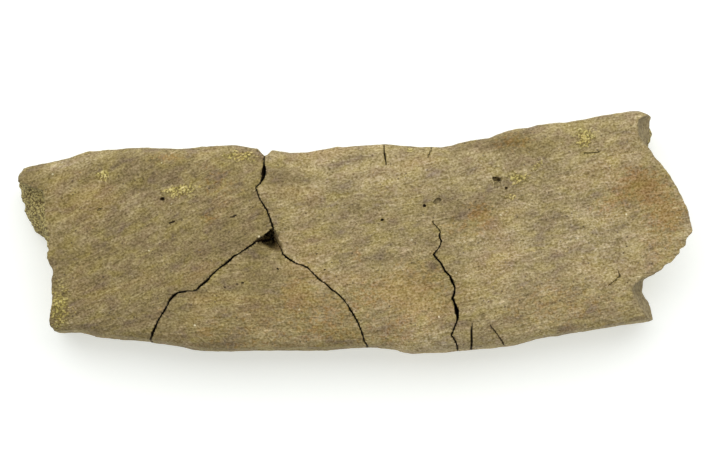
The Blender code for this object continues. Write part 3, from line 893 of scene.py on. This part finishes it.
@dataclass(frozen=True)
class FossilBone:
    """Permineralised rib bone, with a weathered cortex and breaks that show its spongy inside.

    Iron and silica have filled the fibres, so the cortex looks like old bark: matt khaki brown,
    flecked and streaked along the length, blotched with ochre and, in places, grown over by a thin
    olive crust. Where it is broken it looks like stale bread, pale strands round dark pores.
    """

    name: str
    tilt: float
    mauve: str = "#7f6f53"
    olive: str = "#87784f"
    khaki: str = "#94845a"
    straw: str = "#a2926a"
    ochre: str = "#967b45"
    rust: str = "#90713c"
    gold: str = "#a18a50"
    streak: str = "#bbab7c"
    speck: str = "#dcd2ae"
    # The colour of the small pores, which is painted shade inside them.
    pit: str = "#43372a"
    gap: str = "#7e6f3e"
    # Between the crust's grains: partly a darker crust, partly painted shade that falls between the grains.
    crust: str = "#b6a75f"
    fresh: str = "#a09068"
    stale: str = "#796945"
    shade: str = "#675731"
    strand: str = "#c2b272"
    silt: str = "#93844c"
    roughness: float = 0.78
    bump: float = 0.5
    bump_strength: float = 0.8

    # name: (length of the lumps, their width, shift of the pattern, detail, distortion)
    # Real fibres and grains are 0.2 to 0.4 mm wide. They are drawn 0.6 wide, as coarse as they
    # need to be to show.
    PATTERNS = {
        "zones": (24.0, 12.0, 0.0, 3.0, 0.3),
        "patches": (7.0, 3.6, 40.0, 3.0, 0.4),
        "streaks": (7.0, 0.6, 80.0, 3.0, 0.8),
        "fibres": (3.6, 0.6, 120.0, 3.0, 0.5),
        "speckle": (0.7, 0.62, 160.0, 2.0, 0.0),
        "crumbs": (1.3, 1.1, 200.0, 3.0, 0.3),
        "tints": (5.5, 3.4, 240.0, 5.0, 0.6),
    }

    # name: (spacing of the spots, shift of the pattern in metres)
    SCATTERED = {"pores": (2.8, 0.0), "specks": (8.0, 0.4), "grains": (0.65, 0.9)}
    # How much light and shade each pattern gives.
    GAINS = {"speckle": 2.05, "fibres": 0.4, "streaks": 0.3, "crumbs": 0.42, "zones": 0.5}

    def material(self) -> bpy.types.Material:
        """Builds the material.

        Returns:
            The material, which reads the weights that the shaft is painted with.
        """
        made = bpy.data.materials.new(self.name)
        made.use_nodes = True
        tree = made.node_tree
        shader = tree.nodes["Principled BSDF"]
        fields = self.patterns(tree)
        weights = {
            name: add_node(tree, "ShaderNodeAttribute", {"attribute_name": name}).outputs["Fac"]
            for name in ("light", "ochre", "rust", "crust", "broken", "spongy")
        }
        colour, crusted = self.overgrown(tree, fields, weights, self.cortex(tree, fields))
        colour = self.shaded(tree, fields, weights["light"], colour)
        colour = self.opened(tree, fields, weights, colour)
        tree.links.new(colour, shader.inputs["Base Color"])
        tree.links.new(self.rough_normal(tree, fields, crusted), shader.inputs["Normal"])
        shader.inputs["Roughness"].default_value = self.roughness
        return made

    def patterns(self, tree: bpy.types.NodeTree) -> Fields:
        """Lays out every pattern that the bone is coloured with.

        Args:
            tree: The material's node tree.

        Returns:
            The value of each pattern.
        """
        place = add_node(tree, "ShaderNodeTexCoord").outputs["Object"]
        fields = {}
        for name, (along, across, shift, detail, distortion) in self.PATTERNS.items():
            size = add_node(tree, "ShaderNodeMapping", {"vector_type": "TEXTURE"}, {
                "Vector": place,
                "Location": (shift * MM, 0.0, 0.0),
                "Rotation": (0.0, 0.0, math.radians(self.tilt)),
                "Scale": (along * MM, across * MM, across * MM),
            })
            fields[name] = add_node(tree, "ShaderNodeTexNoise", None, {
                "Vector": size.outputs["Vector"], "Scale": 1.0, "Detail": detail, "Distortion": distortion,
            }).outputs["Fac"]
        for name, (spacing, shift) in self.SCATTERED.items():
            size = add_node(tree, "ShaderNodeMapping", {"vector_type": "TEXTURE"}, {
                "Vector": place, "Location": (shift, 0.0, 0.0), "Scale": (spacing * MM,) * 3,
            })
            fields[name] = add_node(tree, "ShaderNodeTexVoronoi", None, {
                "Vector": size.outputs["Vector"], "Scale": 1.0,
            }).outputs["Distance"]
        # Grains of uneven size, high between them.
        lift = add_node(tree, "ShaderNodeMath", {"operation": "MULTIPLY_ADD"}, {
            0: fields["speckle"], 1: -1.6, 2: 0.8,
        }).outputs[0]
        fields["uneven"] = add_node(tree, "ShaderNodeMath", None, {0: fields["grains"], 1: lift}).outputs[0]
        return fields

    def cortex(self, tree: bpy.types.NodeTree, fields: Fields) -> bpy.types.NodeSocket:
        """Colours the cortex: soft blotches, each a little redder or greener than the next.

        Args:
            tree: The material's node tree.
            fields: The patterns.

        Returns:
            The colour.
        """
        colour = add_node(tree, "ShaderNodeValToRGB", None, {"Fac": fields["patches"]}, (
            (0.3, self.mauve), (0.7, self.straw), (0.43, self.olive), (0.56, self.khaki),
        )).outputs["Color"]
        # (pattern, where it starts and where it is full, most, colour)
        layers = (
            ("zones", 0.5, 0.7, 0.5, self.ochre),
            ("zones", 0.47, 0.3, 0.4, self.mauve),
            ("tints", 0.5, 0.68, 0.4, self.gold),
            ("tints", 0.48, 0.34, 0.3, self.mauve),
            ("streaks", 0.6, 0.75, 0.5, self.streak),
            # Dark spots at the pores: painted shade inside them.
            ("pores", 0.13, 0.06, 0.7, self.pit),
            ("specks", 0.05, 0.03, 0.8, self.speck),
        )
        for name, start, full, most, tint in layers:
            share = add_node(tree, "ShaderNodeMapRange", None, {
                "Value": fields[name], "From Min": start, "From Max": full, "To Min": 0.0, "To Max": most,
            }).outputs["Result"]
            colour = add_node(tree, "ShaderNodeMix", {"data_type": "RGBA"}, {
                MIX_FACTOR: share, MIX_A: colour, MIX_B: linear(tint),
            }).outputs[MIX_RESULT]
        return colour

    def overgrown(
        self, tree: bpy.types.NodeTree, fields: Fields, weights: Fields, colour: bpy.types.NodeSocket
    ) -> tuple[bpy.types.NodeSocket, bpy.types.NodeSocket]:
        """Adds stains and crusts, which the weights place and the crumbs pattern breaks up.

        Args:
            tree: The material's node tree.
            fields: The patterns.
            weights: The painted weights.
            colour: The colour below.

        Returns:
            The colour, and how far the crust covers it.
        """
        # Crust grains with the gaps between them darkened: partly darker crust, partly painted shade.
        grains = add_node(tree, "ShaderNodeValToRGB", None, {"Fac": fields["uneven"]}, (
            (0.34, self.crust), (0.6, self.gap),
        )).outputs["Color"]
        broken_up = add_node(tree, "ShaderNodeMath", {"operation": "MULTIPLY_ADD"}, {
            0: fields["crumbs"], 1: 2.0, 2: -1.0,
        }).outputs[0]
        for name, most, tint in (
            ("ochre", 0.6, linear(self.ochre)),
            ("rust", 0.7, linear(self.rust)),
            ("crust", 0.9, grains),
        ):
            total = add_node(tree, "ShaderNodeMath", None, {0: weights[name], 1: broken_up}).outputs[0]
            covered = add_node(tree, "ShaderNodeMapRange", None, {
                "Value": total, "From Min": 0.3, "From Max": 0.7, "To Min": 0.0, "To Max": most,
            }).outputs["Result"]
            colour = add_node(tree, "ShaderNodeMix", {"data_type": "RGBA"}, {
                MIX_FACTOR: covered, MIX_A: colour, MIX_B: tint,
            }).outputs[MIX_RESULT]
        return colour, covered

    def shaded(
        self,
        tree: bpy.types.NodeTree,
        fields: Fields,
        light: bpy.types.NodeSocket,
        colour: bpy.types.NodeSocket,
    ) -> bpy.types.NodeSocket:
        """Adds fine light and shade, along the fibres and across them.

        Args:
            tree: The material's node tree.
            fields: The patterns.
            light: The painted lightness.
            colour: The colour below.

        Returns:
            The colour, browner where it is darker.
        """
        for name, gain in self.GAINS.items():
            share = add_node(tree, "ShaderNodeMath", {"operation": "MULTIPLY_ADD"}, {
                0: fields[name], 1: gain, 2: 1.0 - 0.5 * gain,
            }).outputs[0]
            light = add_node(tree, "ShaderNodeMath", {"operation": "MULTIPLY"}, {
                0: light, 1: share,
            }).outputs[0]
        strength = add_node(tree, "ShaderNodeMath", {"operation": "MULTIPLY_ADD"}, {
            0: light, 1: -0.3, 2: 1.36,
        }).outputs[0]
        hue = add_node(tree, "ShaderNodeMath", {"operation": "MULTIPLY_ADD"}, {
            0: fields["tints"], 1: 0.05, 2: 0.474,
        }).outputs[0]
        return add_node(tree, "ShaderNodeHueSaturation", None, {
            "Hue": hue, "Saturation": strength, "Value": light, "Color": colour,
        }).outputs["Color"]

    def opened(
        self, tree: bpy.types.NodeTree, fields: Fields, weights: Fields, colour: bpy.types.NodeSocket
    ) -> bpy.types.NodeSocket:
        """Adds the bare breaks, and the spongy inside.

        Args:
            tree: The material's node tree.
            fields: The patterns.
            weights: The painted weights.
            colour: The colour of the outside.

        Returns:
            The colour.
        """
        bare = add_node(tree, "ShaderNodeValToRGB", None, {"Fac": fields["crumbs"]}, (
            (0.35, self.stale), (0.62, self.fresh),
        )).outputs["Color"]
        inside = add_node(tree, "ShaderNodeValToRGB", None, {"Fac": fields["uneven"]}, (
            (0.32, self.strand), (0.78, self.shade), (0.52, self.silt),
        )).outputs["Color"]
        for name, tint in (("broken", bare), ("spongy", inside)):
            colour = add_node(tree, "ShaderNodeMix", {"data_type": "RGBA"}, {
                MIX_FACTOR: weights[name], MIX_A: colour, MIX_B: tint,
            }).outputs[MIX_RESULT]
        return colour

    def rough_normal(
        self, tree: bpy.types.NodeTree, fields: Fields, crusted: bpy.types.NodeSocket
    ) -> bpy.types.NodeSocket:
        """Roughens the surface where the mesh is too coarse to: fibres, grains and pores.

        Args:
            tree: The material's node tree.
            fields: The patterns.
            crusted: How far the crust covers the bone.

        Returns:
            The normal.
        """
        height = fields["speckle"]
        for value, share in (
            (fields["fibres"], 0.8),
            (fields["crumbs"], 0.9),
            (fields["pores"], 0.3),
            (crusted, 0.4),
        ):
            height = add_node(tree, "ShaderNodeMath", {"operation": "MULTIPLY_ADD"}, {
                0: value, 1: share, 2: height,
            }).outputs[0]
        return add_node(tree, "ShaderNodeBump", None, {
            "Height": height, "Distance": self.bump * MM, "Strength": self.bump_strength,
        }).outputs["Normal"]


@dataclass(frozen=True)
class Fracture:
    """Bare mineral where the bone has parted: dull, lumpy, and darker the deeper it is stained."""

    name: str
    dark: str
    pale: str
    grain: float = 1.4
    roughness: float = 0.9
    bump: float = 0.6
    bump_strength: float = 0.8

    def material(self) -> bpy.types.Material:
        """Builds the material.

        Returns:
            The material.
        """
        made = bpy.data.materials.new(self.name)
        made.use_nodes = True
        tree = made.node_tree
        shader = tree.nodes["Principled BSDF"]
        place = add_node(tree, "ShaderNodeTexCoord").outputs["Object"]
        size = add_node(tree, "ShaderNodeMapping", {"vector_type": "TEXTURE"}, {
            "Vector": place, "Scale": (self.grain * MM,) * 3,
        }).outputs["Vector"]
        grime = add_node(tree, "ShaderNodeTexNoise", None, {"Vector": size, "Scale": 1.0, "Detail": 4.0})
        colour = add_node(tree, "ShaderNodeValToRGB", None, {"Fac": grime.outputs["Fac"]}, (
            (0.35, self.dark), (0.65, self.pale),
        )).outputs["Color"]
        tree.links.new(colour, shader.inputs["Base Color"])
        bump = add_node(tree, "ShaderNodeBump", None, {
            "Height": grime.outputs["Fac"],
            "Distance": self.bump * MM,
            "Strength": self.bump_strength,
        })
        tree.links.new(bump.outputs["Normal"], shader.inputs["Normal"])
        shader.inputs["Roughness"].default_value = self.roughness
        return made


# Deep in a crack the mineral is stained nearly black by iron and manganese.
STAINED_WALL = Fracture("stained_fracture_wall", "#38260f", "#6e5328")
# Crumbled bone lies loose in the hollow at the fork, a dusty brown.
CRUMBLED_BONE = Fracture("crumbled_bone", "#4a3c22", "#b8a472", 0.9)
# A shallow scoop is worn clean, and pale like the grain of planed wood.
WORN_BONE = Fracture("worn_bone", "#7c6c48", "#ab9b6f", 1.0)


@dataclass
class Fragment:
    """One fragment of the rib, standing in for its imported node."""

    node: str
    bone: FossilBone
    sharp_from: float = 50.0

    def middle(self) -> Vector:
        """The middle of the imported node's box."""
        low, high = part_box(self.node)
        return (Vector(low) + Vector(high)) / 2.0

    def build(
        self, whole: bpy.types.Mesh, chosen: Points, bone: bpy.types.Material
    ) -> bpy.types.Object:
        """Takes this fragment's vertices out of the cut shaft and puts it in its node's place.

        Args:
            whole: The cut shaft.
            chosen: True for each of its vertices that belongs to this fragment.
            bone: The material for its own bone.

        Returns:
            The finished piece.
        """
        bm = bmesh.new()
        bm.from_mesh(whole)
        others = [vert for vert, kept in zip(bm.verts, chosen) if not kept]
        bmesh.ops.delete(bm, geom=others, context="VERTS")
        name = f"{self.node}_bone"
        mesh = bpy.data.meshes.new(name)
        bm.to_mesh(mesh)
        bm.free()
        mesh.materials.append(bone)
        for material in whole.materials[1:]:
            mesh.materials.append(material)
        mesh.shade_smooth()
        mesh.set_sharp_from_angle(angle=math.radians(self.sharp_from))
        piece = link(name, mesh)
        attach(piece, "root")
        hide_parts(self.node)
        LOG.info("%s: %d triangles", name, sum(len(p.vertices) - 2 for p in mesh.polygons))
        return piece


@dataclass
class Shaft:
    """The rib's shaft, made whole from its fragments, dressed, and broken up again."""

    fragments: tuple[Fragment, ...]
    fractures: tuple[Fracture, ...] = (STAINED_WALL, CRUMBLED_BONE, WORN_BONE)
    voxel: float = 0.55
    closing: float = 0.3
    weld: float = 0.001
    settling: float = 0.3
    evening_rounds: int = 6
    relief: Relief = field(default_factory=Relief)

    def build(self) -> None:
        """Makes the shaft, raises its relief, cuts it and hands each fragment its part."""
        whole = self.remeshed()
        self.raise_relief(whole)
        bones = [fragment.bone.material() for fragment in self.fragments]
        self.cut(whole, [bones[0], *(fracture.material() for fracture in self.fractures)])
        part = loose_parts(whole.data)
        points = coordinates(whole.data) * MM
        for fragment, bone in zip(self.fragments, bones):
            chosen = part == self.largest_near(part, points, fragment.middle())
            fragment.build(whole.data, chosen, bone)
        bpy.data.objects.remove(whole, do_unlink=True)

    def remeshed(self) -> bpy.types.Object:
        """Joins copies of the fragments, closes the gaps between them and remeshes the whole.

        Returns:
            The shaft, in one even mesh.
        """
        bm = bmesh.new()
        for fragment in self.fragments:
            bm.from_mesh(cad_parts[fragment.node].data)
        bmesh.ops.remove_doubles(bm, verts=bm.verts[:], dist=self.weld * MM)
        mesh = bpy.data.meshes.new("shaft")
        bm.to_mesh(mesh)
        bm.free()
        mesh.materials.clear()
        whole = link("shaft", mesh)
        grow = whole.modifiers.new("grow", "DISPLACE")
        grow.mid_level = 0.0
        grow.strength = self.closing * MM
        remesh = whole.modifiers.new("even", "REMESH")
        remesh.mode = "VOXEL"
        remesh.voxel_size = self.voxel * MM * 1.0
        remesh.adaptivity = 0.0
        shrink = whole.modifiers.new("shrink", "DISPLACE")
        shrink.mid_level = 0.0
        shrink.strength = -self.closing * MM
        settle = whole.modifiers.new("settle", "SMOOTH")
        settle.factor = self.settling
        settle.iterations = 1
        whole.data = evaluated_mesh(whole, "shaft")
        whole.modifiers.clear()
        return whole

    def raise_relief(self, whole: bpy.types.Object) -> None:
        """Paints the weights, and moves each vertex along its evened normal by its relief.

        Args:
            whole: The shaft, whose mesh this changes.
        """
        mesh = whole.data
        points = coordinates(mesh)
        normals = soft_normals(mesh, self.evening_rounds)
        ends = self.end_share(points, normals)
        broken = ends * self.broken_share(points)
        weights = self.paint(mesh, points, broken)
        natural = np.zeros(len(points))
        owner = owners(points - (*DATUM, 0.0))
        for index, fragment in enumerate(self.fragments):
            mine = owner == index
            natural[mine] = self.relief.natural(points[mine], fragment.bone.tilt)
        crusted = weights["crust"] > FAINT_CRUST
        natural[crusted] += weights["crust"][crusted] * self.relief.crumbs(points[crusted])
        rough = np.zeros(len(points))
        chosen = broken > FAINT
        rough[chosen] = self.relief.broken(points[chosen], weights["spongy"][chosen])
        height = natural * (1.0 - broken) + rough * broken
        snapped = ends > FAINT
        chipped = CHIPPED_ANYWHERE + sum(patch.weight(points - (*DATUM, 0.0)) for patch in CHIPPED)
        height[snapped] += (ends * chipped)[snapped] * self.relief.chips(points[snapped])
        low, high = np.array(CAD_LOW) / MM, np.array(CAD_HIGH) / MM
        moved = np.clip(points + normals * height[:, None], low, high)
        mesh.vertices.foreach_set("co", (moved * MM).astype(np.float32).ravel())
        mesh.update()

    @staticmethod
    def end_share(points: Points, normals: Points) -> Points:
        """1 where the shaft is snapped off, and 0 along it."""
        return step(np.abs(points[:, 0]), *END_ZONE) * step(np.abs(normals[:, 0]), *END_FACING)

    @staticmethod
    def broken_share(points: Points) -> Points:
        """1 where a snapped end shows its bare inside, and 0 where its edge is worn.

        Args:
            points: Rows of coordinates, in millimetres.

        Returns:
            One share for each point.
        """
        from_datum = points - (*DATUM, 0.0)
        opened = step(sum(patch.weight(from_datum) for patch in OPEN_BREAKS), *PATCH_EDGE)
        low = below(points[:, 2], *BARE_BELOW)
        return np.maximum(opened, low)

    @staticmethod
    def paint(mesh: bpy.types.Mesh, points: Points, broken: Points) -> dict[str, Points]:
        """Paints the weights that the bone's material reads.

        Args:
            mesh: The shaft.
            points: Its vertices.
            broken: How far each of them belongs to a broken end.

        Returns:
            Each weight by its name.
        """
        from_datum = points - (*DATUM, 0.0)
        on_face = step(points[:, 2], *FACE_FROM)
        # Painted highlight: the lips of the through cracks and the long crack are made paler where their
        # edges catch the light.
        lip_highlight = np.zeros(len(points))
        for crack in THROUGH_CRACKS + BLIND_CRACKS[:1]:
            lip_highlight = np.maximum(lip_highlight, crack.nearness(from_datum, LIP_HIGHLIGHT_REACH))
        tone = 1.0 + sum(patch.weight(from_datum) for patch in TONES)
        paling = 1.0 + PALING * step(from_datum[:, 0], *PALING_ZONE)
        tone *= np.array(FRAGMENT_TONES)[owners(from_datum)] * paling
        tone *= 1.0 + LIP_HIGHLIGHT_GAIN * lip_highlight * on_face
        spongy = step(sum(patch.weight(from_datum) for patch in SPONGY), *PATCH_EDGE)
        low = below(points[:, 2], *SPONGY_BELOW)
        weights = {
            "light": tone,
            "broken": broken,
            "spongy": broken * np.maximum(spongy, low),
            "crust": sum(patch.weight(from_datum) for patch in CRUSTS) * on_face,
            "ochre": sum(patch.weight(from_datum) for patch in OCHRES),
            "rust": sum(patch.weight(from_datum) for patch in RUSTS),
        }
        for name, values in weights.items():
            set_weight(mesh, name, values)
        return weights

    @staticmethod
    def cut(whole: bpy.types.Object, materials: list[bpy.types.Material]) -> None:
        """Cuts the cracks, the hollow and the pits crisply, with stained walls.

        Args:
            whole: The shaft.
            materials: The material for each kind of surface, in the order of Surface.
        """
        for material in materials:
            whole.data.materials.append(material)
        bm = bmesh.new()
        bm.from_mesh(whole.data)
        ground = BVHTree.FromBMesh(bm)
        bm.free()
        for shape in (*THROUGH_CRACKS, *BLIND_CRACKS, FORK_HOLLOW, MARGIN_NOTCH, *PITS):
            cutter = shape.cutter(ground)
            cutter.data.materials.append(materials[shape.surface])
            modifier = whole.modifiers.new(cutter.name, "BOOLEAN")
            modifier.operation = "DIFFERENCE"
            modifier.solver = "MANIFOLD"
            modifier.material_mode = "TRANSFER"
            modifier.object = cutter
            whole.data = evaluated_mesh(whole, "shaft")
            whole.modifiers.clear()
            bpy.data.objects.remove(cutter, do_unlink=True)

    @staticmethod
    def largest_near(part: Points, points: Points, middle: Vector) -> int:
        """Finds the large loose part whose own middle lies nearest to a place.

        Args:
            part: The loose part's number, for each vertex.
            points: The vertices, in metres.
            middle: The place, in metres.

        Returns:
            The part's number.
        """
        names, counts = np.unique(part, return_counts=True)
        large = names[counts > LARGE_SHARE * len(part)]
        gaps = [np.linalg.norm(points[part == name].mean(axis=0) - np.array(middle)) for name in large]
        return int(large[int(np.argmin(gaps))])


@dataclass
class Studio:
    """A glowing white table under soft light, with the camera almost overhead."""

    pixel: float = 0.312
    image_width: float = 708.0
    sensor: float = 36.0
    distance: float = 1200.0
    elevation: float = 85.0
    target: tuple[float, float, float] = (-0.063, -2.024, 21.5)
    table_half: float = 6000.0
    glow: float = 0.475
    surround: float = 0.43
    sheet_colour: str = "#d9dbd9"
    sheet_roughness: float = 0.9
    glow_colour: str = "#fbfefa"
    surround_colour: str = "#ffffff"
    key_place: tuple[float, float, float] = (0.0, 1250.0, 1850.0)
    key_size: tuple[float, float] = (5200.0, 2400.0)
    key_power: float = 68.0
    clipping: tuple[float, float] = (0.01, 100.0)

    def build(self) -> None:
        """Makes the table, the lights, the world and the camera."""
        self.table()
        self.world()
        self.key_light()
        self.camera()
        bpy.context.scene.view_settings.view_transform = "Standard"

    def table(self) -> None:
        """A wide flat sheet of opal acrylic, lit faintly from below."""
        bm = bmesh.new()
        bmesh.ops.create_grid(bm, x_segments=1, y_segments=1, size=self.table_half * MM)
        mesh = bpy.data.meshes.new("light_table")
        bm.to_mesh(mesh)
        bm.free()
        sheet = link("light_table", mesh)
        acrylic = bpy.data.materials.new("opal_acrylic")
        acrylic.use_nodes = True
        shader = acrylic.node_tree.nodes["Principled BSDF"]
        shader.inputs["Base Color"].default_value = linear(self.sheet_colour)
        shader.inputs["Roughness"].default_value = self.sheet_roughness
        shader.inputs["Emission Color"].default_value = linear(self.glow_colour)
        shader.inputs["Emission Strength"].default_value = self.glow
        mesh.materials.append(acrylic)

    def world(self) -> None:
        """Even white light from all round."""
        world = bpy.data.worlds.new("studio")
        world.use_nodes = True
        background = world.node_tree.nodes["Background"]
        background.inputs["Color"].default_value = linear(self.surround_colour)
        background.inputs["Strength"].default_value = self.surround
        bpy.context.scene.world = world

    def key_light(self) -> None:
        """A wide soft box behind the object, aimed at its middle."""
        data = bpy.data.lights.new("key", "AREA")
        data.shape = "RECTANGLE"
        data.size, data.size_y = self.key_size[0] * MM, self.key_size[1] * MM
        data.energy = self.key_power
        light = bpy.data.objects.new("key", data)
        light.location = Vector(self.key_place) * MM
        light.rotation_euler = (-light.location).to_track_quat("-Z", "Y").to_euler()
        light.visible_camera = False
        bpy.context.scene.collection.objects.link(light)

    def camera(self) -> None:
        """A long lens, so that the picture keeps one scale across the object."""
        data = bpy.data.cameras.new("camera")
        data.sensor_width = self.sensor
        data.lens = self.distance * self.sensor / (self.image_width * self.pixel)
        data.clip_start, data.clip_end = self.clipping
        camera = bpy.data.objects.new("camera", data)
        tilt = math.radians(self.elevation)
        back = Vector((0.0, -math.cos(tilt), math.sin(tilt)))
        camera.location = (Vector(self.target) + self.distance * back) * MM
        camera.rotation_euler = (-back).to_track_quat("-Z", "Y").to_euler()
        bpy.context.scene.collection.objects.link(camera)
        bpy.context.scene.camera = camera


def main() -> None:
    """Builds and dresses the three fragments, then the studio around them."""
    fragments = (
        Fragment("left_fragment", FossilBone("rib_bone_of_left_fragment", 25.0)),
        Fragment("wedge_fragment", FossilBone("rib_bone_of_wedge_fragment", 4.0)),
        Fragment("right_fragment", FossilBone("rib_bone_of_right_fragment", 13.0)),
    )
    Shaft(fragments).build()
    Studio().build()


if __name__ == "__main__":
    logging.basicConfig(level=logging.INFO)
    main()
